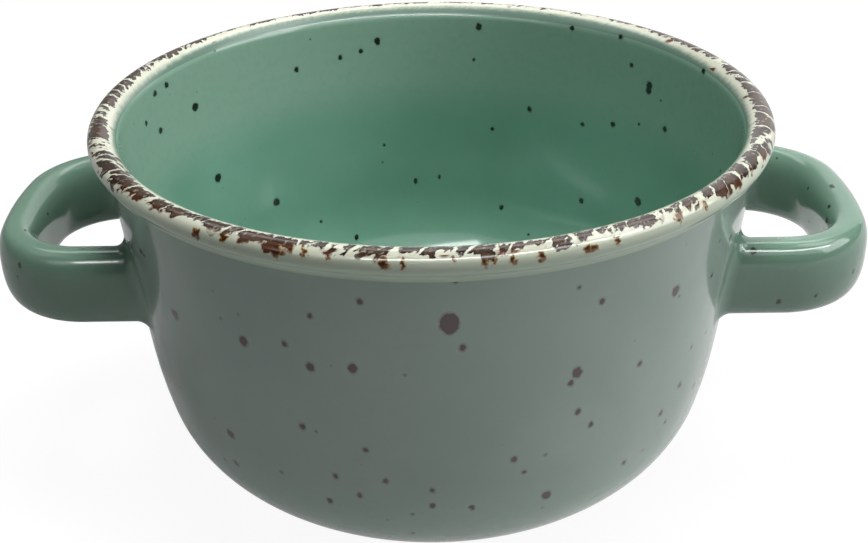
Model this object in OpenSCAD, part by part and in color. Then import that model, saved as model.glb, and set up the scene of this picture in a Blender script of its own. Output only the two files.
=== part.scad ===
// Two-handled soup cup in glazed stoneware, in millimetres.
// The origin is the centre of the foot ring on the table, +Z is up and the handles lie along X.
// Sizes are those of the finished, glazed surface. A depth d in the functions below is measured from that
// surface into the wall: 0 is the glaze's outside, and glaze_t is where the clay starts.

/* [Bowl] */
// Diameter across the rolled rim
rim_d = 134; // [125:1:145]
// Height from the table to the top of the rim
cup_h = 79; // [75:0.5:84]
// Thickness of the wall, glaze included
wall_t = 3.2; // [2.8:0.1:3.6]
// Lean of the straight upper wall, in degrees from upright
wall_draft = 6.2; // [3:0.1:9]
// Radius of the long curve of the belly
belly_r = 100; // [85:1:115]
// Radius of the tight curve from the belly into the base
heel_r = 23.8; // [21:0.1:27]
// How far the tight curve turns, in degrees from flat
heel_sweep = 76; // [73:0.5:78]
// Radius of the wide curve from the inside wall into the floor
inner_heel_r = 30; // [28:0.5:32]

/* [Rim] */
// Diameter of the rolled bead
bead_d = 4.7; // [4.2:0.1:5.4]
// How far the bead stands out past the wall below it
rim_overhang = 2.7; // [2.4:0.1:3.2]
// Radius of the hollow under the bead
cove_r = 2.2; // [1.6:0.1:2.8]
// Radius of the rounded inner side of the lip
lip_r = 3.9; // [3.9:0.1:4.5]
// How far the pale rim glaze runs down inside
rim_band = 2.2; // [1.8:0.1:2.8]

/* [Foot] */
// Height of the foot ring
foot_h = 2.2; // [1.8:0.1:3]
// Width of the foot ring
foot_w = 4; // [3:0.1:5.5]
// How far the foot ring sits inside the tight curve of the base
foot_inset = 1.5; // [0.8:0.1:3]
// Height of the bare clay above the table
bare_h = 1; // [0.7:0.1:1.4]
// Bevel on the edges that stand on the table
foot_bevel = 0.5; // [0.3:0.1:0.6]

/* [Handles] */
// How far each handle stands out past the rim
handle_out = 20.8; // [17:0.2:25]
// Width of a handle across both limbs
handle_w = 54.1; // [48:0.1:58]
// Height of the strap's middle above the table
handle_z = 50.5; // [45:0.5:53]
// Height of the strap
strap_h = 15.6; // [13:0.1:18]
// Thickness of the strap
strap_t = 8; // [7:0.1:9]
// Squareness of the strap's cross-section, where 2 is an ellipse
strap_square = 2.6; // [2:0.1:4]
// Radius of a corner of the loop, to the strap's middle
corner_r = 16; // [12:0.2:18]
// Radius of the fillet where a limb meets the wall
fillet_r = 2.4; // [1.8:0.1:3]

/* [Joints and glaze] */
// Thickness of the slip between a limb and the wall
slip_t = 0.8; // [0.5:0.1:1.2]
// Thickness of the glaze
glaze_t = 0.4; // [0.3:0.05:0.6]

/* [Hidden] */

clay_colour = "#d8cdbb";
slip_colour = "#c9bda9";
green_colour = "#79a08c";
rim_colour = "#c9cdb4";

arc_step = 3;        // degrees between points on a profile's arc
section_sides = 24;  // corners of the strap's cross-section
fillet_steps = 5;    // rings along a fillet
fillet_end = 75;     // degrees of the fillet's quarter circle that stand clear of the wall
fillet_tuck = 0.4;   // how far a fillet starts inside the strap
root_depth = 1.5;    // how far a limb and its fillet are drawn into the wall before they are trimmed
$fn = 180;

rim_r = rim_d / 2;
bead_r = bead_d / 2;
bead_centre = [rim_r - bead_r, cup_h - bead_r];

// The straight wall: a point on it level with the bead's underside, its outward normal and its rising direction
wall_point = [rim_r - rim_overhang, cup_h - bead_d];
wall_out = [cos(wall_draft), -sin(wall_draft)];
wall_up = [sin(wall_draft), cos(wall_draft)];

// The belly arc is tangent to the wall, and the heel arc to the belly and to the flat underside
belly_z = foot_h + heel_r * (1 - cos(heel_sweep)) + belly_r * (cos(heel_sweep) - sin(wall_draft));
belly_centre = [wall_point.x - (wall_point.y - belly_z) * tan(wall_draft) - belly_r * cos(wall_draft),
                belly_z + belly_r * sin(wall_draft)];
heel_centre = belly_centre + (belly_r - heel_r) * [sin(heel_sweep), -cos(heel_sweep)];
heel_z = heel_centre.y - heel_r * cos(heel_sweep);

// Inside, one wider arc is tangent to the wall's inner face and to the floor, so the heel is the thickest part
floor_z = foot_h + wall_t;
inner_heel_z = floor_z + inner_heel_r;
inner_heel_centre = [
    wall_point.x - ((wall_point.y - inner_heel_z) * sin(wall_draft) + wall_t + inner_heel_r) / cos(wall_draft),
    inner_heel_z];

// The cove and the lip are each tangent to the bead and to one face of the wall
bead_from_wall = (bead_centre - wall_point) * wall_out;
bead_along_wall = (bead_centre - wall_point) * wall_up;
cove_centre = wall_tangent_centre(cove_r, bead_r + cove_r);
lip_centre = wall_tangent_centre(lip_r - wall_t, lip_r - bead_r);
cove_angle = direction(bead_centre - cove_centre);
lip_angle = direction(bead_centre - lip_centre);
rim_split = 180 - asin((cup_h - rim_band - lip_centre.y) / lip_r);

foot_outer_r = heel_centre.x - foot_inset;
foot_inner_r = foot_outer_r - foot_w;

// The loop in plan, along the strap's middle: two straight limbs, two quarter turns and a straight end
limb_y = (handle_w - strap_t) / 2;
reach = rim_r + handle_out - strap_t / 2;
corner_x = reach - corner_r;
corner_y = limb_y - corner_r;

function direction(v) = atan2(v.y, v.x);

// Centre of a circle at a set distance outside the wall's face that lies that far below the bead's centre
function wall_tangent_centre(from_wall, from_bead) =
    wall_point + from_wall * wall_out
    + (bead_along_wall - sqrt(pow(from_bead, 2) - pow(from_wall - bead_from_wall, 2))) * wall_up;

function arc(centre, r, from, to) =
    let (n = ceil(abs(to - from) / arc_step))
    [for (i = [0:n]) let (a = from + (to - from) * i / n) centre + r * [cos(a), sin(a)]];

// The wall's face from the flat underside up to the straight stretch
function belly_curve(d) = concat(
    arc(heel_centre, heel_r - d, -90, heel_sweep - 90),
    arc(belly_centre, belly_r - d, heel_sweep - 90, -wall_draft));

// The rim from the wall, round the cove and the bead, to the end of the pale glaze inside
function rim_curve(d) = concat(
    arc(cove_centre, cove_r + d, 180 - wall_draft, cove_angle),
    arc(bead_centre, bead_r - d, cove_angle - 180, lip_angle),
    arc(lip_centre, lip_r - d, lip_angle, rim_split));

// The inside from the end of the pale glaze down to the middle of the floor
function inner_curve(d) = concat(
    arc(lip_centre, lip_r - d, rim_split, 180 - wall_draft),
    arc(inner_heel_centre, inner_heel_r + d, -wall_draft, -90),
    [[0, floor_z - d]]);

// The outside from the bare foot up to the start of the rim
function outer_curve(d) = concat(
    [[foot_outer_r - d, bare_h], [foot_outer_r - d, foot_h + d]],
    belly_curve(d),
    [cove_centre - (cove_r + d) * wall_out]);

// The well inside the foot ring
function well_curve(d) = [[foot_inner_r + d, bare_h], [foot_inner_r + d, foot_h + d], [0, foot_h + d]];

function reversed(list) = [for (i = [len(list) - 1:-1:0]) list[i]];

// A thin strip of profile between the finished surface and the clay
function glaze_strip(surface, clay) = concat(surface, reversed(clay));

// Radius of the outer wall at a height, and its distance along X from the plane Y = 0 at a given y
function wall_radius(z, d) =
    z > belly_z ? wall_point.x - (wall_point.y - z) * tan(wall_draft) - d / cos(wall_draft)
    : z > heel_z ? belly_centre.x + sqrt(pow(belly_r - d, 2) - pow(z - belly_centre.y, 2))
    : heel_centre.x + sqrt(pow(heel_r - d, 2) - pow(z - heel_centre.y, 2));

function wall_x(y, z, d) = sqrt(pow(wall_radius(z, d), 2) - pow(y, 2));

// Rounded cross-section of the strap, grown outwards by an amount: x is across it and y is up
function strap_section(grow) = [for (i = [0:section_sides - 1])
    let (a = 360 * i / section_sides, p = 2 / strap_square)
    [(strap_t / 2 + grow) * sign(cos(a)) * pow(abs(cos(a)), p),
     (strap_h / 2 + grow) * sign(sin(a)) * pow(abs(sin(a)), p)]];

// A ring of points round a limb, the strap's section grown by an amount, at a set distance from the wall
function root_ring(side, d, grow, off) = [for (p = strap_section(grow - d))
    let (y = side * limb_y + p.x, z = handle_z + p.y)
    [wall_x(y, z, d) + off, y, z]];

function root_rings(side, d) = let (r = fillet_r + d) concat(
    [root_ring(side, d, -fillet_tuck, r)],
    [for (i = [1:fillet_steps]) let (a = fillet_end * i / fillet_steps)
        root_ring(side, d, r * (1 - cos(a)), r * (1 - sin(a)))],
    [root_ring(side, d, r * (1 - cos(fillet_end)), -root_depth)]);

function middle(ring) = [for (k = [0:2]) [for (p = ring) p[k]] * [for (p = ring) 1] / len(ring)];

// A closed solid through rings of equal length, with a fan of triangles over each end
module loft(rings) {
    n = len(rings[0]);
    last = len(rings) - 1;
    points = concat([for (ring = rings) each ring], [middle(rings[0]), middle(rings[last])]);
    sides = [for (k = [0:last - 1], i = [0:n - 1])
        let (a = k * n + i, b = k * n + (i + 1) % n)
        each [[a, b, b + n], [a, b + n, a + n]]];
    first_cap = [for (i = [0:n - 1]) [(i + 1) % n, i, n * (last + 1)]];
    last_cap = [for (i = [0:n - 1]) [last * n + i, last * n + (i + 1) % n, n * (last + 1) + 1]];
    polyhedron(points, concat(sides, first_cap, last_cap));
}

// Everything inside the outer wall, up to the rim, for trimming the handles
module wall_core(d) {
    rotate_extrude()
        polygon(concat([[0, foot_h + d]], belly_curve(d), [cove_centre - (cove_r + d) * wall_out],
                       [[0, cove_centre.y]]));
}

module limb(side, d) {
    start = floor(wall_x(limb_y + strap_t / 2, handle_z - strap_h / 2, 0) - root_depth);
    translate([start, side * limb_y, handle_z])
        rotate([90, 0, 90])
            linear_extrude(corner_x - start)
                polygon(strap_section(-d));
}

module quarter_turn(side, d) {
    translate([corner_x, side * corner_y, handle_z])
        rotate([0, 0, side > 0 ? 0 : -90])
            rotate_extrude(angle = 90)
                translate([corner_r, 0])
                    polygon(strap_section(-d));
}

module straight_end(d) {
    translate([reach, corner_y, handle_z])
        rotate([90, 0, 0])
            linear_extrude(2 * corner_y)
                polygon(strap_section(-d));
}

// The right-hand loop from wall to wall
module strap(d) {
    limb(-1, d);
    quarter_turn(-1, d);
    straight_end(d);
    quarter_turn(1, d);
    limb(1, d);
}

// The flared root of one limb
module root(side, d) {
    loft(root_rings(side, d));
}

module roots(d) {
    root(-1, d);
    root(1, d);
}

// One clay handle, its ends cut to the curve of the wall with room for the slip
module handle_clay() {
    difference() {
        strap(glaze_t);
        wall_core(glaze_t - slip_t);
    }
}

// The slip that sticks one limb to the wall, squeezed out into a fillet round it
module limb_slip(side) {
    difference() {
        root(side, glaze_t);
        wall_core(glaze_t);
        handle_clay();
    }
}

// The glaze over one handle and its fillets
module handle_glaze() {
    difference() {
        union() {
            strap(0);
            roots(0);
        }
        strap(glaze_t);
        roots(glaze_t);
        wall_core(glaze_t);
    }
}

module bowl_body() {
    color(clay_colour)
        rotate_extrude()
            polygon(concat(
                [[0, foot_h + glaze_t], [foot_inner_r + glaze_t, foot_h + glaze_t],
                 [foot_inner_r + glaze_t, foot_bevel], [foot_inner_r + glaze_t + foot_bevel, 0],
                 [foot_outer_r - glaze_t - foot_bevel, 0], [foot_outer_r - glaze_t, foot_bevel],
                 [foot_outer_r - glaze_t, foot_h + glaze_t]],
                belly_curve(glaze_t),
                rim_curve(glaze_t),
                inner_curve(glaze_t)));
}

module outer_glaze() {
    color(green_colour)
        difference() {
            rotate_extrude()
                polygon(glaze_strip(outer_curve(0), outer_curve(glaze_t)));
            for (turn = [0, 180])
                rotate([0, 0, turn]) {
                    strap(0);
                    roots(0);
                }
        }
}

module inner_glaze() {
    color(green_colour)
        rotate_extrude()
            polygon(glaze_strip(inner_curve(0), inner_curve(glaze_t)));
}

module rim_glaze() {
    color(rim_colour)
        rotate_extrude()
            polygon(glaze_strip(rim_curve(0), rim_curve(glaze_t)));
}

module foot_well_glaze() {
    color(green_colour)
        rotate_extrude()
            polygon(glaze_strip(well_curve(0), well_curve(glaze_t)));
}

module right_handle() { color(clay_colour) handle_clay(); }
module left_handle() { color(clay_colour) rotate([0, 0, 180]) handle_clay(); }
module right_front_slip() { color(slip_colour) limb_slip(-1); }
module right_back_slip() { color(slip_colour) limb_slip(1); }
module left_front_slip() { color(slip_colour) rotate([0, 0, 180]) limb_slip(1); }
module left_back_slip() { color(slip_colour) rotate([0, 0, 180]) limb_slip(-1); }
module right_handle_glaze() { color(green_colour) handle_glaze(); }
module left_handle_glaze() { color(green_colour) rotate([0, 0, 180]) handle_glaze(); }

bowl_body();
left_handle();
right_handle();
left_front_slip();
left_back_slip();
right_front_slip();
right_back_slip();
outer_glaze();
inner_glaze();
rim_glaze();
foot_well_glaze();
left_handle_glaze();
right_handle_glaze();
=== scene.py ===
# Two-handled soup cup in speckled green glaze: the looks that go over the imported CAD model.
import math

import bmesh
import bpy
from mathutils import Matrix, Vector


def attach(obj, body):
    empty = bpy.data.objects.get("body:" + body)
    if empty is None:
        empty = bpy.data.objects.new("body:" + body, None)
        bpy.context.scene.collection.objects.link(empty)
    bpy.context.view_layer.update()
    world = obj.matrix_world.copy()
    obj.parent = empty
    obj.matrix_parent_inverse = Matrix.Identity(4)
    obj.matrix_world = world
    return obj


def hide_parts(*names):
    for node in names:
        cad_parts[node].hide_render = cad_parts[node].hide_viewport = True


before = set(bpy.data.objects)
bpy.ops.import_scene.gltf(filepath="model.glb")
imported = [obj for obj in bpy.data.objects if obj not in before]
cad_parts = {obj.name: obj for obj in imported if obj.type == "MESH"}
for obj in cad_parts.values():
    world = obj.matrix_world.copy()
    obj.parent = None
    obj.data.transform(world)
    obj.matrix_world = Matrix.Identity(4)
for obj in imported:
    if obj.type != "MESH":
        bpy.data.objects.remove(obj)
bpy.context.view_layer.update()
scene = bpy.context.scene

MM = 0.001

# Sizes of the finished cup in millimetres, as in the part's source
RIM_R = 67.0
CUP_H = 79.0
WALL_T = 3.2
WALL_DRAFT = math.radians(6.2)
BELLY_R = 100.0
HEEL_R = 23.8
HEEL_SWEEP = math.radians(76.0)
INNER_HEEL_R = 30.0
BEAD_R = 2.35
RIM_OVERHANG = 2.7
COVE_R = 2.2
LIP_R = 3.9
RIM_BAND = 2.2
FOOT_H = 2.2
FOOT_W = 4.0
FOOT_INSET = 1.5
BARE_H = 1.0
FOOT_BEVEL = 0.5
LIMB_Y = 23.05
HANDLE_REACH = 83.94
HANDLE_Z = 50.5
STRAP_H = 15.6
STRAP_T = 8.0
STRAP_SQUARE = 2.6
CORNER_R = 15.3
END_BOW_R = 75.0
FILLET_R = 2.4
GLAZE_T = 0.4

# How finely the meshes are cut
QUARTER_STEPS = 72
ARC_STEP = math.radians(3.0)
LINE_STEP = 1.5
SECTION_SIDES = 64
SHARP = math.radians(35.0)

# Places that follow from the sizes, in the plane of radius and height
HALF_TURN = math.pi
QUARTER = math.pi / 2
BEAD_CENTRE = Vector((RIM_R - BEAD_R, CUP_H - BEAD_R))
WALL_POINT = Vector((RIM_R - RIM_OVERHANG, CUP_H - 2 * BEAD_R))
WALL_OUT = Vector((math.cos(WALL_DRAFT), -math.sin(WALL_DRAFT)))
WALL_UP = Vector((math.sin(WALL_DRAFT), math.cos(WALL_DRAFT)))
BELLY_Z = (FOOT_H + HEEL_R * (1 - math.cos(HEEL_SWEEP))
           + BELLY_R * (math.cos(HEEL_SWEEP) - math.sin(WALL_DRAFT)))
BELLY_CENTRE = Vector((
    WALL_POINT.x - (WALL_POINT.y - BELLY_Z) * math.tan(WALL_DRAFT) - BELLY_R * math.cos(WALL_DRAFT),
    BELLY_Z + BELLY_R * math.sin(WALL_DRAFT)))
HEEL_CENTRE = BELLY_CENTRE + (BELLY_R - HEEL_R) * Vector((math.sin(HEEL_SWEEP), -math.cos(HEEL_SWEEP)))
FLOOR_Z = FOOT_H + WALL_T
INNER_HEEL_Z = FLOOR_Z + INNER_HEEL_R
INNER_HEEL_CENTRE = Vector((
    WALL_POINT.x - ((WALL_POINT.y - INNER_HEEL_Z) * math.sin(WALL_DRAFT) + WALL_T + INNER_HEEL_R)
    / math.cos(WALL_DRAFT),
    INNER_HEEL_Z))
FOOT_OUTER_R = HEEL_CENTRE.x - FOOT_INSET
FOOT_INNER_R = FOOT_OUTER_R - FOOT_W


def wall_tangent_centre(from_wall, from_bead):
    """Centre of a circle under the bead, at set distances from the wall's face and the bead's centre."""
    to_bead = BEAD_CENTRE - WALL_POINT
    drop = math.sqrt(from_bead ** 2 - (from_wall - to_bead.dot(WALL_OUT)) ** 2)
    return WALL_POINT + from_wall * WALL_OUT + (to_bead.dot(WALL_UP) - drop) * WALL_UP


def direction(v):
    return math.atan2(v.y, v.x)


COVE_CENTRE = wall_tangent_centre(COVE_R, BEAD_R + COVE_R)
LIP_CENTRE = wall_tangent_centre(LIP_R - WALL_T, LIP_R - BEAD_R)
COVE_ANGLE = direction(BEAD_CENTRE - COVE_CENTRE)
LIP_ANGLE = direction(BEAD_CENTRE - LIP_CENTRE)
RIM_SPLIT = HALF_TURN - math.asin((CUP_H - RIM_BAND - LIP_CENTRE.y) / LIP_R)


# Profiles of the bowl: d is the depth below the finished surface


def arc(centre, radius, start, end):
    count = math.ceil(abs(end - start) / ARC_STEP)
    angles = [start + (end - start) * i / count for i in range(count + 1)]
    return [centre + radius * Vector((math.cos(a), math.sin(a))) for a in angles]


def line(start, end):
    """Points between two ends, which are left out."""
    count = math.ceil((end - start).length / LINE_STEP)
    return [start.lerp(end, i / count) for i in range(1, count)]


def belly_curve(d):
    heel = arc(HEEL_CENTRE, HEEL_R - d, -QUARTER, HEEL_SWEEP - QUARTER)
    belly = arc(BELLY_CENTRE, BELLY_R - d, HEEL_SWEEP - QUARTER, -WALL_DRAFT)
    return heel + belly[1:]


def outer_curve(d):
    foot_side = [Vector((FOOT_OUTER_R - d, BARE_H)), Vector((FOOT_OUTER_R - d, FOOT_H + d))]
    belly = belly_curve(d)
    top = COVE_CENTRE - (COVE_R + d) * WALL_OUT
    return foot_side + belly + line(belly[-1], top) + [top]


def rim_curve(d):
    cove = arc(COVE_CENTRE, COVE_R + d, HALF_TURN - WALL_DRAFT, COVE_ANGLE)
    bead = arc(BEAD_CENTRE, BEAD_R - d, COVE_ANGLE - HALF_TURN, LIP_ANGLE)
    lip = arc(LIP_CENTRE, LIP_R - d, LIP_ANGLE, RIM_SPLIT)
    return cove + bead[1:] + lip[1:]


def inner_curve(d):
    lip = arc(LIP_CENTRE, LIP_R - d, RIM_SPLIT, HALF_TURN - WALL_DRAFT)
    heel = arc(INNER_HEEL_CENTRE, INNER_HEEL_R + d, -WALL_DRAFT, -QUARTER)
    middle = Vector((0.0, FLOOR_Z - d))
    return lip + line(lip[-1], heel[0]) + heel + line(heel[-1], middle) + [middle]


def well_curve(d):
    corner = Vector((FOOT_INNER_R + d, FOOT_H + d))
    middle = Vector((0.0, FOOT_H + d))
    return [Vector((FOOT_INNER_R + d, BARE_H)), corner] + line(corner, middle) + [middle]


def clay_curve(d):
    inner_r = FOOT_INNER_R + d
    outer_r = FOOT_OUTER_R - d
    under = [(0.0, FOOT_H + d), (inner_r, FOOT_H + d), (inner_r, FOOT_BEVEL), (inner_r + FOOT_BEVEL, 0.0),
             (outer_r - FOOT_BEVEL, 0.0), (outer_r, FOOT_BEVEL), (outer_r, FOOT_H + d)]
    return [Vector(p) for p in under] + belly_curve(d) + rim_curve(d) + inner_curve(d)[1:]


def wall_radius(z):
    """Radius of the outer wall at a height."""
    if z > BELLY_Z:
        return WALL_POINT.x - (WALL_POINT.y - z) * math.tan(WALL_DRAFT)
    if z > HEEL_CENTRE.y - HEEL_R * math.cos(HEEL_SWEEP):
        return BELLY_CENTRE.x + math.sqrt(BELLY_R ** 2 - (z - BELLY_CENTRE.y) ** 2)
    return HEEL_CENTRE.x + math.sqrt(HEEL_R ** 2 - (z - HEEL_CENTRE.y) ** 2)


def inner_radius(z):
    """Radius of the inside at a height, on the lip, on the wall below it or on the curve into the floor."""
    if z > LIP_CENTRE.y + LIP_R * math.sin(WALL_DRAFT):
        return LIP_CENTRE.x - math.sqrt(LIP_R ** 2 - (z - LIP_CENTRE.y) ** 2)
    if z > INNER_HEEL_Z - INNER_HEEL_R * math.sin(WALL_DRAFT):
        return wall_radius(z) - WALL_T / math.cos(WALL_DRAFT)
    return INNER_HEEL_CENTRE.x + math.sqrt(INNER_HEEL_R ** 2 - (z - INNER_HEEL_Z) ** 2)


# Meshes


def spun(profile, closed):
    """A profile turned round the axis, by a quarter and its mirror images. A closed one makes a skin."""
    bm = bmesh.new()
    points = [bm.verts.new((p.x * MM, 0.0, p.y * MM)) for p in profile]
    pairs = list(zip(points, points[1:]))
    if closed:
        pairs.append((points[-1], points[0]))
    on_axis = 1e-6
    for a, b in pairs:
        if max(a.co.x, b.co.x) > on_axis:
            bm.edges.new((a, b))
    bmesh.ops.spin(bm, geom=bm.verts[:] + bm.edges[:], cent=(0, 0, 0), axis=(0, 0, 1),
                   angle=QUARTER, steps=QUARTER_STEPS)
    for axis in ("X", "Y"):
        bmesh.ops.mirror(bm, geom=bm.verts[:] + bm.edges[:] + bm.faces[:], axis=axis, merge_dist=on_axis)
    bmesh.ops.remove_doubles(bm, verts=bm.verts, dist=on_axis)
    bmesh.ops.recalc_face_normals(bm, faces=bm.faces)
    return bm


def skin(curve):
    return spun(curve(0.0) + curve(GLAZE_T)[::-1], True)


def open_under_roots(bm):
    """Bare clay where the limbs stick to the wall: a hole in the glaze, hidden by each fillet."""
    margin = 0.6
    for side in (-1, 1):
        for limb in (-1, 1):
            covered = []
            for face in bm.faces:
                c = face.calc_center_median() / MM
                across = abs(c.y - limb * LIMB_Y) < STRAP_T / 2 - margin
                if c.x * side > 0 and across and abs(c.z - HANDLE_Z) < STRAP_H / 2 - margin:
                    covered.append(face)
            bmesh.ops.delete(bm, geom=covered, context="FACES")
            edges = [e for e in bm.edges if e.is_boundary]
            bmesh.ops.bridge_loops(bm, edges=edges)
    bmesh.ops.recalc_face_normals(bm, faces=bm.faces)


def rounded(value, power):
    return math.copysign(abs(value) ** power, value)


def put_on_root(verts, limb, grow_from, grow_to, off):
    """Moves a ring of a limb's points out by a growth, to a distance off the wall."""
    for v in verts:
        y = v.co.y / MM - limb * LIMB_Y
        z = v.co.z / MM - HANDLE_Z
        y = limb * LIMB_Y + y * (STRAP_T / 2 + grow_to) / (STRAP_T / 2 + grow_from)
        z = HANDLE_Z + z * (STRAP_H / 2 + grow_to) / (STRAP_H / 2 + grow_from)
        x = math.sqrt(wall_radius(z) ** 2 - y ** 2) + off
        v.co = Vector((x, y, z)) * MM


def extruded(bm, edges):
    new = bmesh.ops.extrude_edge_only(bm, edges=edges)["geom"]
    new_verts = [g for g in new if isinstance(g, bmesh.types.BMVert)]
    new_set = set(new_verts)
    new_edges = [g for g in new if isinstance(g, bmesh.types.BMEdge) and set(g.verts) <= new_set]
    return new_verts, new_edges


def turned(bm, edges, centre, angle, steps):
    """Spins the open end of the strap round an upright axis and gives its new open end."""
    verts = list({v for e in edges for v in e.verts})
    last = bmesh.ops.spin(bm, geom=verts + list(edges), cent=Vector((*centre, HANDLE_Z)) * MM,
                          axis=(0, 0, 1), angle=angle, steps=steps)["geom_last"]
    return [g for g in last if isinstance(g, bmesh.types.BMEdge)]


def root(bm, edges, limb):
    """Runs a limb's open end to the wall and flares it into a fillet."""
    steps = 9
    tuck = 0.25
    verts, edges = extruded(bm, edges)
    put_on_root(verts, limb, 0.0, 0.0, FILLET_R)
    grown = 0.0
    for i in range(1, steps + 1):
        a = QUARTER * i / steps
        grow = FILLET_R * (1 - math.cos(a))
        verts, edges = extruded(bm, edges)
        put_on_root(verts, limb, grown, grow, FILLET_R * (1 - math.sin(a)))
        grown = grow
    verts, edges = extruded(bm, edges)
    put_on_root(verts, limb, grown, grown + tuck, -tuck)


def handle_loop():
    """The right-hand strap from wall to wall, as an open tube with flared ends."""
    bow_x = HANDLE_REACH - END_BOW_R
    corner_x = bow_x + math.sqrt((END_BOW_R - CORNER_R) ** 2 - (LIMB_Y - CORNER_R) ** 2)
    bow = math.atan2(LIMB_Y - CORNER_R, corner_x - bow_x)
    corner_y = LIMB_Y - CORNER_R
    root_x = wall_radius(HANDLE_Z + STRAP_H / 2) + FILLET_R
    corner_steps = 26
    bow_steps = 12
    same_point = 1e-7
    power = 2 / STRAP_SQUARE
    bm = bmesh.new()
    ring = bmesh.ops.create_circle(bm, segments=SECTION_SIDES, radius=1.0)["verts"]
    for v in ring:
        y = rounded(v.co.x, power) * STRAP_T / 2 - LIMB_Y
        z = rounded(v.co.y, power) * STRAP_H / 2 + HANDLE_Z
        v.co = Vector((root_x, y, z)) * MM
    start = bm.edges[:]
    verts, edges = extruded(bm, start)
    bmesh.ops.translate(bm, verts=verts, vec=((corner_x - root_x) * MM, 0, 0))
    edges = turned(bm, edges, (corner_x, -corner_y), QUARTER - bow, corner_steps)
    edges = turned(bm, edges, (bow_x, 0.0), 2 * bow, bow_steps)
    edges = turned(bm, edges, (corner_x, corner_y), QUARTER - bow, corner_steps)
    verts, edges = extruded(bm, edges)
    bmesh.ops.translate(bm, verts=verts, vec=((root_x - corner_x) * MM, 0, 0))
    root(bm, edges, 1)
    root(bm, start, -1)
    bmesh.ops.remove_doubles(bm, verts=bm.verts, dist=same_point)
    bmesh.ops.recalc_face_normals(bm, faces=bm.faces)
    return bm


def handle_skin(side):
    bm = handle_loop()
    if side < 0:
        bmesh.ops.rotate(bm, verts=bm.verts, cent=(0, 0, 0), matrix=Matrix.Rotation(HALF_TURN, 3, "Z"))
    outward = Vector((side, 0, 0))
    far = max(bm.faces, key=lambda f: f.calc_center_median().x * side)
    if far.normal.dot(outward) < 0:
        bmesh.ops.reverse_faces(bm, faces=bm.faces)
    bmesh.ops.solidify(bm, geom=bm.faces[:], thickness=GLAZE_T * MM)
    bmesh.ops.recalc_face_normals(bm, faces=bm.faces)
    return bm


def piece(name, bm, material, node):
    for face in bm.faces:
        face.smooth = True
    for edge in bm.edges:
        if edge.is_manifold and edge.calc_face_angle() > SHARP:
            edge.smooth = False
    mesh = bpy.data.meshes.new(name)
    bm.to_mesh(mesh)
    bm.free()
    mesh.materials.append(material)
    obj = bpy.data.objects.new(name, mesh)
    scene.collection.objects.link(obj)
    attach(obj, "root")
    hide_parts(node)
    return obj


# Materials

# Colours of the glazes, of the iron in them and of the clay
OUTSIDE_TINT = "#a1b5aa"
OUTSIDE_DEEP = "#95ab9f"
# Painted light: the outside's paler green towards the foot, for light bounced up from the floor
OUTSIDE_PAINTED_LIGHT = "#a6c3b4"
OUTSIDE_SPECK = "#57413f"
INSIDE_TINT = "#7eab98"
INSIDE_DEEP = "#73a28e"
# Painted reflection: the inside's paler green towards the lip
INSIDE_PAINTED_REFLECTION = "#8fb09e"
INSIDE_SPECK = "#16211a"
HANDLE_TINT = "#769784"
HANDLE_DEEP = "#6b8c79"
HANDLE_SPECK = "#35392f"
CREAM = "#dcdeca"
PALE_GREEN = "#b8cab4"
# Painted shade: the lip's green, darker than the inside's
LIP_GREEN_PAINTED_SHADE = "#738e80"
IRON_BROWN = "#4c3627"
IRON_EDGE = "#1f0e06"
RUSTY_EDGE = "#5a2d0c"
RUST = "#6b3c14"
RUN_STAIN = "#9c7a44"
RUN_HEART = "#4d270b"
CLAY_LIGHT = "#d8cbb4"
CLAY_DARK = "#b9a78c"

# The glaze is a glass under a thin clear skin
GLAZE_IOR = 1.52
SKIN_IOR = 1.5
GLOSS = 0.25

# Sockets of a Mix node that is set to colours, and the middle of a noise's colour
MIX_SHARE = 0
MIX_A = 6
MIX_B = 7
MIX_RESULT = 2
NOISE_MIDDLE = (0.5, 0.5, 0.5)


def rgb(hex_code):
    """An sRGB hex colour as linear RGBA."""
    parts = [int(hex_code[i:i + 2], 16) / 255 for i in (1, 3, 5)]
    return [c / 12.92 if c <= 0.04045 else ((c + 0.055) / 1.055) ** 2.4 for c in parts] + [1.0]


def add(tree, kind, inputs=None, **settings):
    """A new node with its settings, and its inputs set to values or linked to sockets."""
    node = tree.nodes.new(kind)
    for key, value in settings.items():
        setattr(node, key, value)
    for key, value in (inputs or {}).items():
        if isinstance(value, bpy.types.NodeSocket):
            tree.links.new(value, node.inputs[key])
        else:
            node.inputs[key].default_value = value
    return node


def new_material(name):
    material = bpy.data.materials.new(name)
    material.use_nodes = True
    material.node_tree.nodes.clear()
    return material, material.node_tree


def place_in_mm(tree):
    """The place on the cup, in millimetres."""
    place = add(tree, "ShaderNodeTexCoord")
    mm = add(tree, "ShaderNodeVectorMath", {0: place.outputs["Object"], "Scale": 1 / MM}, operation="SCALE")
    return mm.outputs[0]


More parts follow.
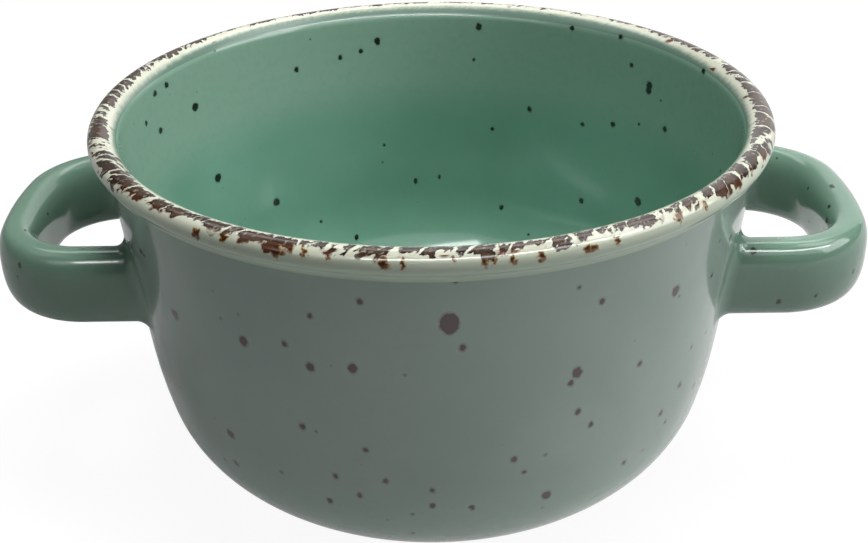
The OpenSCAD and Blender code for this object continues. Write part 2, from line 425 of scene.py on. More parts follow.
# Iron specks read off the photograph: bearing from the front in degrees, height and width in millimetres
OUTER_SPECKS = [
    (2.5, 64.5, 3.3), (-12.5, 54.5, 1.6), (-19.5, 53.5, 1.5), (-31.5, 55.5, 1.6), (-39.5, 31, 1.6),
    (23.5, 50.5, 1.8), (22.5, 48.5, 1.0), (20.5, 22.5, 1.8), (-23.5, 57.5, 1.0), (4.5, 59.5, 1.1),
    (42.5, 60.5, 1.7), (13.5, 33.5, 1.1), (-11.5, 36.5, 1.0), (-17.5, 29, 1.0), (-8.5, 29.5, 1.0),
    (-13.5, 25, 1.0), (-19.5, 22, 1.1), (-0.5, 27.5, 0.9), (-0.5, 23.5, 1.0), (6.5, 22.5, 1.0),
    (27.5, 37.5, 0.9), (24.5, 41.5, 1.1), (26.5, 64.5, 0.9), (45.5, 31.5, 1.0), (50.5, 35.5, 1.0),
    (58.5, 30.5, 1.0), (37.5, 23.5, 1.0), (36.5, 47.5, 0.9), (-18.5, 64.5, 0.9), (-10.5, 68.5, 1.0),
    (-22.5, 39.5, 1.1), (-40.5, 23, 1.0), (-48.5, 54, 1.5), (-56.8, 63.6, 0.9), (60.1, 63, 1.0),
    (54.2, 58.1, 0.7)]
INNER_SPECKS = [
    (-167.6, 71.2, 1.5), (-163.7, 69.2, 1.1), (-158.7, 68.2, 1.1), (-147.9, 67.2, 1.1), (-111.1, 74.5, 1.0),
    (-106.3, 74.4, 1.0), (-118.9, 66.6, 1.5), (-100.1, 70.3, 0.8), (-105.3, 66.4, 1.0), (169.1, 74.2, 1.5),
    (147.3, 76.2, 1.0), (135, 76.7, 1.0), (125.2, 66.9, 1.3), (125.2, 68.1, 1.4), (131.1, 71.1, 0.9),
    (109, 76.6, 0.9), (170.1, 66.2, 0.8), (156.3, 55.2, 1.1), (165.2, 49.2, 0.9), (142.4, 54.1, 0.9),
    (134.1, 56.1, 1.1), (118.4, 60, 1.1), (-121.8, 48.5, 1.6), (-138, 36.6, 1.6), (178.5, 36.2, 0.9),
    (-175.5, 35.2, 1.1), (123.3, 40.5, 1.6), (140.5, 35.1, 1.1), (162.2, 29.1, 1.1), (-158.7, 22.7, 1.1)]

# Rust runs below the rim's crest: bearing in degrees, way down from the crest and width in millimetres
RIM_RUNS = [
    (-34.8, 3.1, 1.3), (-30, 2.2, 1.1), (-21.6, 2.5, 2.0), (-19.4, 2.0, 1.3), (-17.4, 2.2, 1.2),
    (-13.9, 2.6, 0.7), (-6.4, 2.9, 1.4), (-5.9, 3.3, 0.9), (-3.8, 2.8, 1.0), (7.2, 2.9, 1.2),
    (8.4, 2.9, 0.8), (11, 3.0, 1.1), (15, 3.1, 1.1), (21.6, 3.2, 1.2), (22.6, 3.2, 1.0),
    (26.3, 2.7, 1.1), (37.5, 2.2, 1.4), (43.3, 2.4, 1.2), (52.8, 2.2, 1.4)]

# Iron specks on the handles: place and width in millimetres
HANDLE_SPECKS = [
    (-79.6, -22.9, 54.8, 1.0), (-83.6, -19.2, 52.7, 0.6), (-80.2, -14.3, 58.0, 0.7),
    (60.8, -25.7, 57.1, 1.2), (82.7, 0.9, 58.2, 1.0), (80.7, -5.2, 56.5, 0.7), (79.8, -7.6, 54.5, 1.0),
    (79.6, -7.4, 52.4, 0.7), (81.9, -21.2, 50.1, 0.9), (66.5, -26.8, 46.7, 0.9), (73.7, -26.1, 47.5, 0.7)]

# Specks are spread by the melting glaze: how much each way is drawn in to make them round again
SPECK_SPREAD = Vector((1.0, 0.55, 0.78))

# How ragged the edges of specks and runs are, and how far specks bleed into the glaze, in millimetres
SPECK_RAGGED = 0.6
RUN_RAGGED = 1.7
FINE_BLEED = 0.24
WIDE_BLEED = 0.42

# Further away than any speck's edge counts
FAR_OFF = 9.0


def speck_place(bearing, radius, height):
    a = math.radians(bearing)
    return SPECK_SPREAD * Vector((radius * math.sin(a), -radius * math.cos(a), height))


def speck_edge(tree, where, places, nearest, ragged_by):
    """Distance in millimetres from the edge of the nearest of the placed specks, or of the ones given."""
    ragged_mm = 0.9
    ragged = add(tree, "ShaderNodeTexNoise", {"Vector": where, "Scale": 1 / ragged_mm, "Detail": 1.0})
    push = add(tree, "ShaderNodeVectorMath", {0: ragged.outputs["Color"], 1: NOISE_MIDDLE},
               operation="SUBTRACT")
    push = add(tree, "ShaderNodeVectorMath", {0: push.outputs[0], "Scale": ragged_by}, operation="SCALE")
    drawn_in = add(tree, "ShaderNodeVectorMath", {0: where, 1: SPECK_SPREAD, 2: push.outputs[0]},
                   operation="MULTIPLY_ADD").outputs[0]
    for point, width in places:
        away = add(tree, "ShaderNodeVectorMath", {0: drawn_in, 1: point}, operation="DISTANCE")
        edge = add(tree, "ShaderNodeMath", {0: away.outputs["Value"], 1: width / 2}, operation="SUBTRACT")
        nearest = add(tree, "ShaderNodeMath", {0: nearest, 1: edge.outputs[0]},
                      operation="MINIMUM").outputs[0]
    return nearest


def with_specks(tree, colour, nearest, tint, bleed_mm):
    """Colours the specks: a soft bleeding edge round a darker heart."""
    bleed_end_mm = -0.1
    bleed_share = 0.45
    heart_start_mm = 0.06
    heart_end_mm = -0.14
    bleed = add(tree, "ShaderNodeMapRange",
                {"Value": nearest, "From Min": bleed_mm, "From Max": bleed_end_mm, "To Max": bleed_share},
                interpolation_type="SMOOTHSTEP")
    heart = add(tree, "ShaderNodeMapRange",
                {"Value": nearest, "From Min": heart_start_mm, "From Max": heart_end_mm},
                interpolation_type="SMOOTHSTEP")
    share = add(tree, "ShaderNodeMath", {0: bleed.outputs[0], 1: heart.outputs[0]}, operation="MAXIMUM")
    mixed = add(tree, "ShaderNodeMix", {MIX_SHARE: share.outputs[0], MIX_A: colour, MIX_B: rgb(tint)},
                data_type="RGBA")
    return mixed.outputs[MIX_RESULT]


def celadon_glaze(name, tint, deep, painted_light_tint, painted_light_from, painted_light_to, speck_tint, bleed_mm, places):
    """Iron-bearing celadon glaze over stoneware, fired glossy. It is a glass, laid on thinly: an even green
    that pools slightly deeper in clouds. Between two heights it turns paler, which is painted light. Its
    brown iron specks bleed at their edges."""
    cloud_mm = 26.0
    mottle_mm = 1.6
    mottle_share = 0.22
    speck_cell_mm = 4.0
    no_speck_mm = -0.3
    most_speck_mm = 0.45
    ripple_mm = 9.0
    ripple_height_mm = 0.12
    material, tree = new_material(name)
    where = place_in_mm(tree)
    cloud = add(tree, "ShaderNodeTexNoise", {"Vector": where, "Scale": 1 / cloud_mm, "Detail": 3.0})
    pooled = add(tree, "ShaderNodeMapRange", {"Value": cloud.outputs[0], "From Min": 0.35, "From Max": 0.7})
    colour = add(tree, "ShaderNodeMix",
                 {MIX_SHARE: pooled.outputs[0], MIX_A: rgb(tint), MIX_B: rgb(deep)}, data_type="RGBA")
    # Painted light: the colour turns paler between two heights
    height = add(tree, "ShaderNodeSeparateXYZ", {0: where})
    painted_light = add(tree, "ShaderNodeMapRange",
                {"Value": height.outputs[2], "From Min": painted_light_from, "From Max": painted_light_to},
                interpolation_type="SMOOTHSTEP")
    colour = add(tree, "ShaderNodeMix",
                 {MIX_SHARE: painted_light.outputs[0], MIX_A: colour.outputs[MIX_RESULT], MIX_B: rgb(painted_light_tint)},
                 data_type="RGBA")
    mottle = add(tree, "ShaderNodeTexNoise", {"Vector": where, "Scale": 1 / mottle_mm, "Detail": 2.0})
    faint = add(tree, "ShaderNodeMapRange",
                {"Value": mottle.outputs[0], "From Min": 0.45, "From Max": 0.75, "To Max": mottle_share})
    colour = add(tree, "ShaderNodeMix",
                 {MIX_SHARE: faint.outputs[0], MIX_A: colour.outputs[MIX_RESULT], MIX_B: rgb(deep)},
                 data_type="RGBA")
    # Specks: fine ones in some cells, at random, and the others at their places
    cells = add(tree, "ShaderNodeTexVoronoi", {"Vector": where, "Scale": 1 / speck_cell_mm})
    lot = add(tree, "ShaderNodeSeparateColor", {0: cells.outputs["Color"]})
    size = add(tree, "ShaderNodeMapRange",
               {"Value": lot.outputs[0], "From Min": 0.5, "To Min": no_speck_mm, "To Max": most_speck_mm})
    from_cell = add(tree, "ShaderNodeMath", {0: cells.outputs["Distance"], 1: speck_cell_mm},
                    operation="MULTIPLY")
    fine = add(tree, "ShaderNodeMath", {0: from_cell.outputs[0], 1: size.outputs[0]}, operation="SUBTRACT")
    nearest = speck_edge(tree, where, places, fine.outputs[0], SPECK_RAGGED)
    colour = with_specks(tree, colour.outputs[MIX_RESULT], nearest, speck_tint, bleed_mm)
    ripple = add(tree, "ShaderNodeTexNoise", {"Vector": where, "Scale": 1 / ripple_mm, "Detail": 1.0})
    bump = add(tree, "ShaderNodeBump",
               {"Strength": 0.35, "Distance": ripple_height_mm * MM, "Height": ripple.outputs[0]})
    sheen = add(tree, "ShaderNodeMapRange", {"Value": mottle.outputs[0], "To Min": 0.06, "To Max": 0.16})
    shader = add(tree, "ShaderNodeBsdfPrincipled",
                 {"Base Color": colour, "Roughness": sheen.outputs[0], "IOR": GLAZE_IOR,
                  "Coat Weight": GLOSS, "Coat Roughness": 0.03, "Coat IOR": SKIN_IOR,
                  "Normal": bump.outputs[0]})
    add(tree, "ShaderNodeOutputMaterial", {"Surface": shader.outputs[0]})
    return material


# The rim's glaze: distances across the bead are in millimetres from its crest

# How far round the bead the outside reaches, and where the inside begins: together a full turn
OUTSIDE_TURN = 2.45 * QUARTER
INSIDE_TURN = OUTSIDE_TURN - 2 * HALF_TURN

# Where the cream ends inside, and how far that and the brown band lie further out at the back
CREAM_EDGE = -2.8
BACK_CREAM = 0.9
BACK_SHIFT = 1.3


def rim_places(tree, where):
    """A point's axes, its heading from the cup's axis, and its way across the bead: positive outside, down
    to the hollow, and negative inside."""
    axes = add(tree, "ShaderNodeSeparateXYZ", {0: where})
    flat = add(tree, "ShaderNodeCombineXYZ", {0: axes.outputs[0], 1: axes.outputs[1]})
    heading = add(tree, "ShaderNodeVectorMath", {0: flat.outputs[0]}, operation="NORMALIZE")
    radius = add(tree, "ShaderNodeVectorMath", {0: flat.outputs[0]}, operation="LENGTH")
    out = add(tree, "ShaderNodeMath", {0: radius.outputs["Value"], 1: BEAD_CENTRE.x}, operation="SUBTRACT")
    rise = add(tree, "ShaderNodeMath", {0: axes.outputs[2], 1: BEAD_CENTRE.y}, operation="SUBTRACT")
    tilt = add(tree, "ShaderNodeMath", {0: out.outputs[0], 1: rise.outputs[0]}, operation="ARCTAN2")
    tilt = add(tree, "ShaderNodeMath", {0: tilt.outputs[0], 1: OUTSIDE_TURN, 2: INSIDE_TURN},
               operation="WRAP")
    across = add(tree, "ShaderNodeMath", {0: tilt.outputs[0], 1: BEAD_R}, operation="MULTIPLY")
    return axes, heading.outputs[0], across.outputs[0]


def leaned_places(tree, heading, across):
    """Places along the rim that lean as its drips do: with the way across it in full, and shortened so that
    cracks run across the band."""
    slant = 0.55
    shortened = (0.0, 0.0, 0.35)
    lean = add(tree, "ShaderNodeMath", {0: across, 1: slant / RIM_R}, operation="MULTIPLY")
    leaned = add(tree, "ShaderNodeVectorRotate", {"Vector": heading, "Angle": lean.outputs[0]},
                 rotation_type="Z_AXIS")
    along = add(tree, "ShaderNodeVectorMath", {0: leaned.outputs[0], "Scale": RIM_R}, operation="SCALE")
    lift = add(tree, "ShaderNodeCombineXYZ", {2: across})
    flow = add(tree, "ShaderNodeVectorMath", {0: along.outputs[0], 1: lift.outputs[0]}, operation="ADD")
    crossing = add(tree, "ShaderNodeVectorMath", {0: lift.outputs[0], 1: shortened, 2: along.outputs[0]},
                   operation="MULTIPLY_ADD")
    return flow.outputs[0], crossing.outputs[0]


def iron_patches(tree, axes, across, flow, crossing, back):
    """How far into a brown patch a point lies, with the patch's random lot and the fraying of its edge. A
    patch ends at an outer edge, which is lower at the sides, an inner edge and the cracks beside it."""
    crack_mm = 5.4
    fray_mm = 1.1
    fray_push_mm = (1.8, 1.8, 0.8)
    fray_edge_mm = 0.7
    drip_mm = 2.6
    least_drip_mm = -0.3
    most_drip_mm = 1.7
    least_reach_mm = 0.9
    most_reach_mm = 1.9
    side_from_mm = 40.0
    side_to_mm = 64.0
    side_reach_mm = 0.8
    front_from_mm = -25.0
    front_to_mm = -60.0
    front_shift_mm = 1.1
    first_edge_mm = -2.0
    last_edge_mm = -1.2
    least_margin_mm = -0.12
    most_margin_mm = 0.42
    fray = add(tree, "ShaderNodeTexNoise", {"Vector": flow, "Scale": 1 / fray_mm, "Detail": 3.0})
    push = add(tree, "ShaderNodeVectorMath", {0: fray.outputs["Color"], 1: NOISE_MIDDLE},
               operation="SUBTRACT")
    warped = add(tree, "ShaderNodeVectorMath", {0: push.outputs[0], 1: fray_push_mm, 2: crossing},
                 operation="MULTIPLY_ADD").outputs[0]
    patches = add(tree, "ShaderNodeTexVoronoi", {"Vector": warped, "Scale": 1 / crack_mm})
    lot = add(tree, "ShaderNodeSeparateColor", {0: patches.outputs["Color"]})
    frayed = add(tree, "ShaderNodeMapRange",
                 {"Value": fray.outputs[0], "From Min": 0.25, "From Max": 0.75,
                  "To Min": -fray_edge_mm, "To Max": fray_edge_mm}).outputs[0]
    # Outer edge
    drip = add(tree, "ShaderNodeTexNoise", {"Vector": flow, "Scale": 1 / drip_mm, "Detail": 1.0})
    drip = add(tree, "ShaderNodeMapRange",
               {"Value": drip.outputs[0], "From Min": 0.42, "From Max": 0.72,
                "To Min": least_drip_mm, "To Max": most_drip_mm})
    side = add(tree, "ShaderNodeMath", {0: axes.outputs[0]}, operation="ABSOLUTE")
    side = add(tree, "ShaderNodeMapRange",
               {"Value": side.outputs[0], "From Min": side_from_mm, "From Max": side_to_mm,
                "To Max": side_reach_mm})
    reach = add(tree, "ShaderNodeMapRange",
                {"Value": lot.outputs[0], "To Min": least_reach_mm, "To Max": most_reach_mm})
    for more in (drip.outputs[0], side.outputs[0], frayed):
        reach = add(tree, "ShaderNodeMath", {0: reach.outputs[0], 1: more}, operation="ADD")
    left_out = add(tree, "ShaderNodeMath", {0: reach.outputs[0], 1: across}, operation="SUBTRACT")
    # Inner edge
    front = add(tree, "ShaderNodeMapRange",
                {"Value": axes.outputs[1], "From Min": front_from_mm, "From Max": front_to_mm,
                 "To Max": front_shift_mm}, interpolation_type="SMOOTHSTEP")
    start = add(tree, "ShaderNodeMapRange",
                {"Value": lot.outputs[1], "To Min": first_edge_mm, "To Max": last_edge_mm})
    for more in (back, front.outputs[0], frayed):
        start = add(tree, "ShaderNodeMath", {0: start.outputs[0], 1: more}, operation="ADD")
    left_in = add(tree, "ShaderNodeMath", {0: across, 1: start.outputs[0]}, operation="SUBTRACT")
    # Cracks
    crack = add(tree, "ShaderNodeTexVoronoi", {"Vector": warped, "Scale": 1 / crack_mm},
                feature="DISTANCE_TO_EDGE")
    margin = add(tree, "ShaderNodeMapRange",
                 {"Value": lot.outputs[2], "To Min": least_margin_mm, "To Max": most_margin_mm})
    beside = add(tree, "ShaderNodeMath", {0: crack.outputs["Distance"], 1: crack_mm}, operation="MULTIPLY")
    beside = add(tree, "ShaderNodeMath", {0: beside.outputs[0], 1: margin.outputs[0]}, operation="SUBTRACT")
    ends = add(tree, "ShaderNodeMath", {0: left_out.outputs[0], 1: left_in.outputs[0]}, operation="MINIMUM")
    within = add(tree, "ShaderNodeMath", {0: ends.outputs[0], 1: beside.outputs[0]}, operation="MINIMUM")
    return within.outputs[0], lot, frayed


def rust_shares(tree, into_patch, lot, across, inset, flow):
    """How much rust shows on the pale glaze, and how rusty each patch is. Rust bleeds out of the lower edge
    of some patches, and lies as small drips under the patches outside and where the cream ends inside."""
    cell_mm = 3.6
    most_drop = 0.36
    outer_drops_mm = 2.4
    outer_spread_mm = 0.9
    inner_drops_mm = CREAM_EDGE + 0.5
    inner_spread_mm = 0.7
    bleed = add(tree, "ShaderNodeMapRange",
                {"Value": into_patch, "From Min": -0.5, "From Max": 0.05, "To Max": 0.8},
                interpolation_type="SMOOTHSTEP")
    outside = add(tree, "ShaderNodeMapRange", {"Value": across, "From Min": 0.8, "From Max": 2.0})
    rusty = add(tree, "ShaderNodeMapRange", {"Value": lot.outputs[1], "From Min": 0.3, "From Max": 0.8})
    rusty = add(tree, "ShaderNodeMath", {0: rusty.outputs[0], 1: outside.outputs[0]}, operation="MULTIPLY")
    rust = add(tree, "ShaderNodeMath", {0: bleed.outputs[0], 1: rusty.outputs[0]}, operation="MULTIPLY")
    drops = add(tree, "ShaderNodeTexVoronoi", {"Vector": flow, "Scale": 1 / cell_mm})
    drop_lot = add(tree, "ShaderNodeSeparateColor", {0: drops.outputs["Color"]})
    size = add(tree, "ShaderNodeMapRange",
               {"Value": drop_lot.outputs[0], "From Min": 0.4, "To Max": most_drop})
    drop = add(tree, "ShaderNodeMath", {0: size.outputs[0], 1: drops.outputs["Distance"]},
               operation="SUBTRACT")
    drop = add(tree, "ShaderNodeMapRange", {"Value": drop.outputs[0], "From Min": -0.08, "From Max": 0.06})
    inner = add(tree, "ShaderNodeMath", {0: inset, 1: inner_drops_mm, 2: inner_spread_mm},
                operation="COMPARE")
    outer = add(tree, "ShaderNodeMath", {0: across, 1: outer_drops_mm, 2: outer_spread_mm},
                operation="COMPARE")
    edges = add(tree, "ShaderNodeMath", {0: inner.outputs[0], 1: outer.outputs[0]}, operation="MAXIMUM")
    drop = add(tree, "ShaderNodeMath", {0: drop.outputs[0], 1: edges.outputs[0]}, operation="MULTIPLY")
    rust = add(tree, "ShaderNodeMath", {0: rust.outputs[0], 1: drop.outputs[0]}, operation="MAXIMUM")
    return rust.outputs[0], rusty.outputs[0]


def pale_glaze(tree, across, inset, frayed):
    """Colour of the cream glaze, greener below the bead, that turns green where the inside begins, into a
    green darkened as painted shade on the lip, and how far it has turned."""
    below_from_mm = 1.6
    below_to_mm = 4.5
    turn_from_mm = CREAM_EDGE + 0.8
    turn_to_mm = CREAM_EDGE - 0.7
    frayed_by = 0.3
    below = add(tree, "ShaderNodeMapRange",
                {"Value": across, "From Min": below_from_mm, "From Max": below_to_mm})
    pale = add(tree, "ShaderNodeMix",
               {MIX_SHARE: below.outputs[0], MIX_A: rgb(CREAM), MIX_B: rgb(PALE_GREEN)}, data_type="RGBA")
    ragged = add(tree, "ShaderNodeMath", {0: frayed, 1: frayed_by, 2: inset}, operation="MULTIPLY_ADD")
    inward = add(tree, "ShaderNodeMapRange",
                 {"Value": ragged.outputs[0], "From Min": turn_from_mm, "From Max": turn_to_mm},
                 interpolation_type="SMOOTHSTEP")
    # The cream turns into the lip's darker green, which is painted shade
    colour = add(tree, "ShaderNodeMix",
                 {MIX_SHARE: inward.outputs[0], MIX_A: pale.outputs[MIX_RESULT], MIX_B: rgb(LIP_GREEN_PAINTED_SHADE)},
                 data_type="RGBA")
    return colour.outputs[MIX_RESULT], inward.outputs[0]


def with_runs(tree, colour, heading, across):
    """Draws the placed rust runs: a yellow-brown stain round a dark heart."""
    stain_mm = 0.12
    lift = add(tree, "ShaderNodeCombineXYZ", {2: across})
    round_rim = add(tree, "ShaderNodeVectorMath", {0: heading, 1: [RIM_R] * 3, 2: lift.outputs[0]},
                    operation="MULTIPLY_ADD")
    places = [(speck_place(b, RIM_R, down), w) for b, down, w in RIM_RUNS]
    runs = speck_edge(tree, round_rim.outputs[0], places, FAR_OFF, RUN_RAGGED)
    stain = add(tree, "ShaderNodeMath", {0: runs, 1: stain_mm}, operation="SUBTRACT")
    heart = add(tree, "ShaderNodeMath", {0: runs, 1: stain_mm}, operation="ADD")
    colour = with_specks(tree, colour, stain.outputs[0], RUN_STAIN, FINE_BLEED)
    return with_specks(tree, colour, heart.outputs[0], RUN_HEART, FINE_BLEED)


def iron_rim_glaze(places):
    """Pale rim glaze over a band of iron oxide. The oxide breaks through along the crest as glossy brown
    patches, with thin slanted cream cracks between them and rust-coloured drips that run down the outside.
    Behind the handles the band lies further out, so that only its edge shows above the inside."""
    pit_mm = 0.8
    back_from_mm = 10.0
    back_to_mm = 50.0
    relief_mm = 0.06
    material, tree = new_material("iron_rim_glaze")
    where = place_in_mm(tree)
    axes, heading, across = rim_places(tree, where)
    flow, crossing = leaned_places(tree, heading, across)
    back = add(tree, "ShaderNodeMapRange",
               {"Value": axes.outputs[1], "From Min": back_from_mm, "From Max": back_to_mm,
                "To Max": BACK_SHIFT}, interpolation_type="SMOOTHSTEP").outputs[0]
    inset = add(tree, "ShaderNodeMath", {0: back, 1: -BACK_CREAM / BACK_SHIFT, 2: across},
                operation="MULTIPLY_ADD").outputs[0]
    into_patch, lot, frayed = iron_patches(tree, axes, across, flow, crossing, back)
    rust, rusty = rust_shares(tree, into_patch, lot, across, inset, flow)
    colour, inward = pale_glaze(tree, across, inset, frayed)
    colour = add(tree, "ShaderNodeMix", {MIX_SHARE: rust, MIX_A: colour, MIX_B: rgb(RUST)}, data_type="RGBA")
    colour = with_runs(tree, colour.outputs[MIX_RESULT], heading, across)
    # The patches, pitted, and darker or rustier where the oxide is thin at their edges
    iron = add(tree, "ShaderNodeMapRange", {"Value": into_patch, "From Min": -0.08, "From Max": 0.14},
               interpolation_type="SMOOTHSTEP")
    pits = add(tree, "ShaderNodeTexNoise", {"Vector": flow, "Scale": 1 / pit_mm, "Detail": 1.0})
    pits = add(tree, "ShaderNodeMapRange",
               {"Value": pits.outputs[0], "From Min": 0.6, "From Max": 0.75, "To Min": 1.0, "To Max": 0.65})
    iron = add(tree, "ShaderNodeMath", {0: iron.outputs[0], 1: pits.outputs[0]}, operation="MULTIPLY")
    depth = add(tree, "ShaderNodeMapRange", {"Value": into_patch, "From Min": 0.12})
    edge = add(tree, "ShaderNodeMix", {MIX_SHARE: rusty, MIX_A: rgb(IRON_EDGE), MIX_B: rgb(RUSTY_EDGE)},
               data_type="RGBA")
    brown = add(tree, "ShaderNodeMix",
                {MIX_SHARE: depth.outputs[0], MIX_A: edge.outputs[MIX_RESULT], MIX_B: rgb(IRON_BROWN)},
                data_type="RGBA")
    colour = add(tree, "ShaderNodeMix",
                 {MIX_SHARE: iron.outputs[0], MIX_A: colour, MIX_B: brown.outputs[MIX_RESULT]},
                 data_type="RGBA")
    nearest = speck_edge(tree, where, places, FAR_OFF, SPECK_RAGGED)
    colour = with_specks(tree, colour.outputs[MIX_RESULT], nearest, INSIDE_SPECK, FINE_BLEED)
    dull = add(tree, "ShaderNodeMath", {0: iron.outputs[0], 1: inward}, operation="MAXIMUM")
    sheen = add(tree, "ShaderNodeMapRange", {"Value": dull.outputs[0], "To Min": 0.08, "To Max": 0.24})
    bump = add(tree, "ShaderNodeBump",
               {"Strength": 0.5, "Distance": relief_mm * MM, "Height": iron.outputs[0]})
    shader = add(tree, "ShaderNodeBsdfPrincipled",
                 {"Base Color": colour, "Roughness": sheen.outputs[0], "IOR": GLAZE_IOR,
                  "Coat Weight": GLOSS, "Coat Roughness": 0.04, "Coat IOR": SKIN_IOR,
                  "Normal": bump.outputs[0]})
    add(tree, "ShaderNodeOutputMaterial", {"Surface": shader.outputs[0]})
    return material


def bare_stoneware():
    """Unglazed stoneware, jiggered and fired: a warm cream body, matt, with fine dark grog."""
    grog_mm = 0.9
    grain_height_mm = 0.1
    material, tree = new_material("bare_stoneware")
    where = place_in_mm(tree)
    grain = add(tree, "ShaderNodeTexNoise", {"Vector": where, "Scale": 1 / grog_mm, "Detail": 4.0})
    tone = add(tree, "ShaderNodeMapRange", {"Value": grain.outputs[0], "From Min": 0.35, "From Max": 0.7})
    colour = add(tree, "ShaderNodeMix",
                 {MIX_SHARE: tone.outputs[0], MIX_A: rgb(CLAY_LIGHT), MIX_B: rgb(CLAY_DARK)},
                 data_type="RGBA")
    bump = add(tree, "ShaderNodeBump",
               {"Strength": 0.6, "Distance": grain_height_mm * MM, "Height": grain.outputs[0]})
    shader = add(tree, "ShaderNodeBsdfPrincipled",
                 {"Base Color": colour.outputs[MIX_RESULT], "Roughness": 0.85, "Normal": bump.outputs[0]})
    add(tree, "ShaderNodeOutputMaterial", {"Surface": shader.outputs[0]})
    return material


# The photograph shows half of the cup: the unseen half has the same specks, turned or mirrored
INNER_TURNED_FROM = 110
HANDLE_MIRRORED_FROM = -20
outer_specks = OUTER_SPECKS + [(b + 180, h, w) for b, h, w in OUTER_SPECKS]
inner_specks = INNER_SPECKS + [(b + 180, h, w) for b, h, w in INNER_SPECKS if abs(b) > INNER_TURNED_FROM]
handle_specks = HANDLE_SPECKS + [(x, -y, z, w) for x, y, z, w in HANDLE_SPECKS if y < HANDLE_MIRRORED_FROM]
lip_specks = [(b, h, w) for b, h, w in inner_specks if h > CUP_H - RIM_BAND - w]
outer_places = [(speck_place(b, wall_radius(h), h), w) for b, h, w in outer_specks]
inner_places = [(speck_place(b, inner_radius(h), h), w) for b, h, w in inner_specks]
lip_places = [(speck_place(b, inner_radius(h), h), w) for b, h, w in lip_specks]
handle_places = [(SPECK_SPREAD * Vector((x, y, z)), w) for x, y, z, w in handle_specks]

# Painted light: paler towards the foot outside, for light bounced up from the floor, and a painted
# reflection that pales the inside towards the lip; the handles stay even
outside_glaze = celadon_glaze("outside_celadon_glaze", OUTSIDE_TINT, OUTSIDE_DEEP, OUTSIDE_PAINTED_LIGHT,
                              painted_light_from=30.0, painted_light_to=12.0, speck_tint=OUTSIDE_SPECK, bleed_mm=WIDE_BLEED,
                              places=outer_places)
inside_glaze = celadon_glaze("inside_celadon_glaze", INSIDE_TINT, INSIDE_DEEP, INSIDE_PAINTED_REFLECTION,
                             painted_light_from=50.0, painted_light_to=63.0, speck_tint=INSIDE_SPECK, bleed_mm=FINE_BLEED,
                             places=inner_places)
handle_glaze = celadon_glaze("handle_celadon_glaze", HANDLE_TINT, HANDLE_DEEP, HANDLE_TINT,
                             painted_light_from=40.0, painted_light_to=60.0, speck_tint=HANDLE_SPECK, bleed_mm=FINE_BLEED,
                             places=handle_places)
rim_glaze = iron_rim_glaze(lip_places)
stoneware = bare_stoneware()

# The pieces
outside = skin(outer_curve)
open_under_roots(outside)
piece("outside_glaze_coat", outside, outside_glaze, "outer_glaze")
piece("inside_glaze_coat", skin(inner_curve), inside_glaze, "inner_glaze")
piece("rim_glaze_coat", skin(rim_curve), rim_glaze, "rim_glaze")
piece("foot_well_glaze_coat", skin(well_curve), outside_glaze, "foot_well_glaze")
piece("clay_bowl", spun(clay_curve(GLAZE_T), False), stoneware, "bowl_body")
piece("left_handle_glaze_coat", handle_skin(-1), handle_glaze, "left_handle_glaze")
piece("right_handle_glaze_coat", handle_skin(1), handle_glaze, "right_handle_glaze")

# The clay of the handles and their slips stays as packed, under the glaze
for node in ("left_handle", "right_handle", "left_front_slip", "left_back_slip", "right_front_slip",
             "right_back_slip"):
    for material_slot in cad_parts[node].material_slots:
        material_slot.material = stoneware


# Camera at the photograph's viewing angle: pixels for the lens, radians, and millimetres
LENS_PX = 1300.0
PHOTO_W = 868.0
SENSOR_MM = 36.0
NEAR_M = 0.01
ELEVATION = 0.4975
AZIMUTH = 0.0048
ROLL = 0.0157
DISTANCE = 277.3
AIM = Vector((0.12, 0.0, 39.8))

back = Vector((math.sin(AZIMUTH) * math.cos(ELEVATION), -math.cos(AZIMUTH) * math.cos(ELEVATION),
               math.sin(ELEVATION)))
level = Vector((math.cos(AZIMUTH), math.sin(AZIMUTH), 0.0))
upright = back.cross(level)
right = level * math.cos(ROLL) - upright * math.sin(ROLL)
up = level * math.sin(ROLL) + upright * math.cos(ROLL)
camera_data = bpy.data.cameras.new("camera")
camera_data.sensor_width = SENSOR_MM
camera_data.lens = LENS_PX / PHOTO_W * SENSOR_MM
camera_data.clip_start = NEAR_M
camera = bpy.data.objects.new("camera", camera_data)
scene.collection.objects.link(camera)
camera.matrix_world = (Matrix.Translation((back * DISTANCE + AIM) * MM)
                       @ Matrix((right, up, back)).transposed().to_4x4())
scene.camera = camera


# Floor, backdrop and lamps: sizes and places in metres

FLOOR_HALF = 6.0
BACKDROP_HALF = 2.5
BACKDROP_AWAY = 2.0
PAPER_GREY = "#a8a8a8"
PAPER_GLOW = 1.2
WHITE = (1.0, 1.0, 1.0, 1.0)
ROOM_LIGHT = 0.03
CUP_MIDDLE = Vector((0.0, 0.0, 0.05))


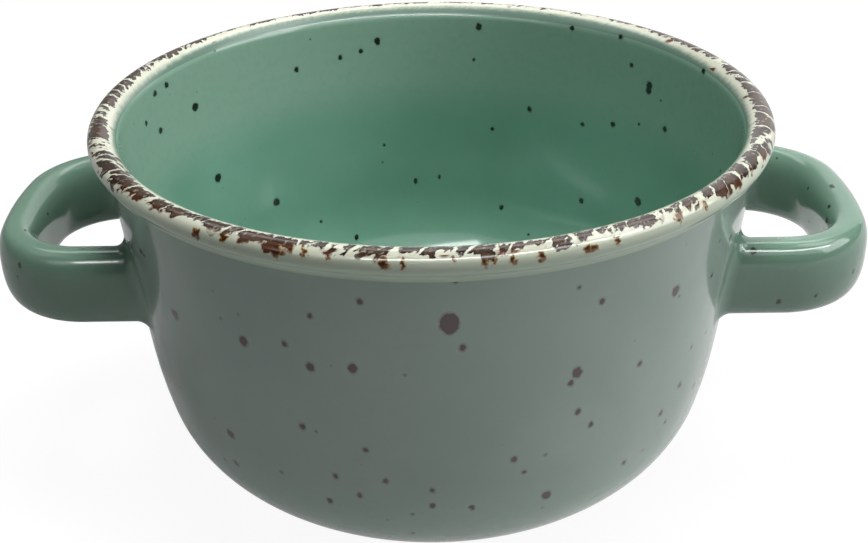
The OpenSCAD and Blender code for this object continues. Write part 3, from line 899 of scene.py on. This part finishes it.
def studio_white(name, camera_share, mirror_left, mirror_right, from_x, to_x):
    """Pale paper that lights the cup as a mid grey. The camera sees it nearly white, less the cup's shadow.
    Mirrored and refracted rays see a painted light on it: a glow that is whiter on the right, where the
    lamps are, than on the left."""
    material, tree = new_material(name)
    path = add(tree, "ShaderNodeLightPath")
    where = add(tree, "ShaderNodeTexCoord")
    place = add(tree, "ShaderNodeSeparateXYZ", {0: where.outputs["Object"]})
    # Painted light: the glow that mirrored rays see grows whiter from left to right
    painted_glow = add(tree, "ShaderNodeMapRange",
                 {"Value": place.outputs[0], "From Min": from_x, "From Max": to_x,
                  "To Min": mirror_left, "To Max": mirror_right})
    mirrored = add(tree, "ShaderNodeMath",
                   {0: path.outputs["Is Glossy Ray"], 1: path.outputs["Is Transmission Ray"]},
                   operation="MAXIMUM")
    mirrored = add(tree, "ShaderNodeMath", {0: mirrored.outputs[0], 1: painted_glow.outputs[0]},
                   operation="MULTIPLY")
    direct = add(tree, "ShaderNodeMath", {0: path.outputs["Is Camera Ray"], 1: camera_share},
                 operation="MULTIPLY")
    share = add(tree, "ShaderNodeMath", {0: direct.outputs[0], 1: mirrored.outputs[0]}, operation="MAXIMUM")
    lit = add(tree, "ShaderNodeBsdfDiffuse", {"Color": rgb(PAPER_GREY)})
    white = add(tree, "ShaderNodeEmission", {"Color": WHITE, "Strength": PAPER_GLOW})
    mixed = add(tree, "ShaderNodeMixShader", {0: share.outputs[0], 1: lit.outputs[0], 2: white.outputs[0]})
    add(tree, "ShaderNodeOutputMaterial", {"Surface": mixed.outputs[0]})
    return material


def put_on_stage(name, bm, material):
    mesh = bpy.data.meshes.new(name)
    bm.to_mesh(mesh)
    bm.free()
    mesh.materials.append(material)
    obj = bpy.data.objects.new(name, mesh)
    scene.collection.objects.link(obj)


floor_paper = studio_white("white_floor", camera_share=0.78, mirror_left=0.05, mirror_right=0.5,
                           from_x=-0.10, to_x=0.03)
floor_bm = bmesh.new()
bmesh.ops.create_grid(floor_bm, x_segments=1, y_segments=1, size=FLOOR_HALF)
put_on_stage("floor", floor_bm, floor_paper)

backdrop_paper = studio_white("white_backdrop", camera_share=0.9, mirror_left=0.15, mirror_right=0.8,
                              from_x=-0.6, to_x=0.0)
backdrop_bm = bmesh.new()
bmesh.ops.create_grid(backdrop_bm, x_segments=1, y_segments=1, size=BACKDROP_HALF)
bmesh.ops.rotate(backdrop_bm, verts=backdrop_bm.verts, cent=(0, 0, 0),
                 matrix=Matrix.Rotation(QUARTER, 3, "X"))
bmesh.ops.translate(backdrop_bm, verts=backdrop_bm.verts, vec=(0.0, BACKDROP_AWAY, BACKDROP_HALF))
put_on_stage("backdrop", backdrop_bm, backdrop_paper)


def area_light(name, height, bearing, away, width, depth, power):
    """A soft lamp aimed at the cup, from a height and a bearing right of the front, both in degrees."""
    h = math.radians(height)
    b = math.radians(bearing)
    outward = Vector((math.cos(h) * math.sin(b), -math.cos(h) * math.cos(b), math.sin(h)))
    data = bpy.data.lights.new(name, "AREA")
    data.shape = "RECTANGLE"
    data.size = width
    data.size_y = depth
    data.energy = power
    light = bpy.data.objects.new(name, data)
    scene.collection.objects.link(light)
    light.location = CUP_MIDDLE + outward * away
    light.rotation_euler = outward.to_track_quat("Z", "Y").to_euler()
    return light


# The overhead lamp lights the cup without a glare of its own
overhead = area_light("overhead_softbox", height=87, bearing=90, away=0.9, width=0.4, depth=0.4, power=7.4)
overhead.visible_glossy = False
area_light("right_softbox", height=55, bearing=90, away=0.9, width=0.4, depth=0.4, power=1.6)
area_light("right_low_softbox", height=25, bearing=77, away=0.9, width=0.6, depth=0.4, power=2.9)
area_light("left_fill", height=50, bearing=-90, away=0.9, width=0.4, depth=0.4, power=0.35)

# These three only show as highlights in the glaze
strip = area_light("highlight_strip", height=45, bearing=25, away=0.9, width=1.5, depth=0.12, power=7.0)
card = area_light("highlight_card", height=38, bearing=5, away=1.0, width=2.4, depth=0.4, power=4.0)
back_card = area_light("back_card", height=60, bearing=180, away=0.9, width=1.1, depth=0.3, power=2.4)
for light in (strip, card, back_card):
    light.visible_diffuse = False

world = bpy.data.worlds.new("dim_room")
scene.world = world
world.use_nodes = True
sky = world.node_tree
sky.nodes.clear()
sky_light = add(sky, "ShaderNodeBackground", {"Color": WHITE, "Strength": ROOM_LIGHT})
add(sky, "ShaderNodeOutputWorld", {"Surface": sky_light.outputs[0]})

scene.view_settings.view_transform = "Standard"
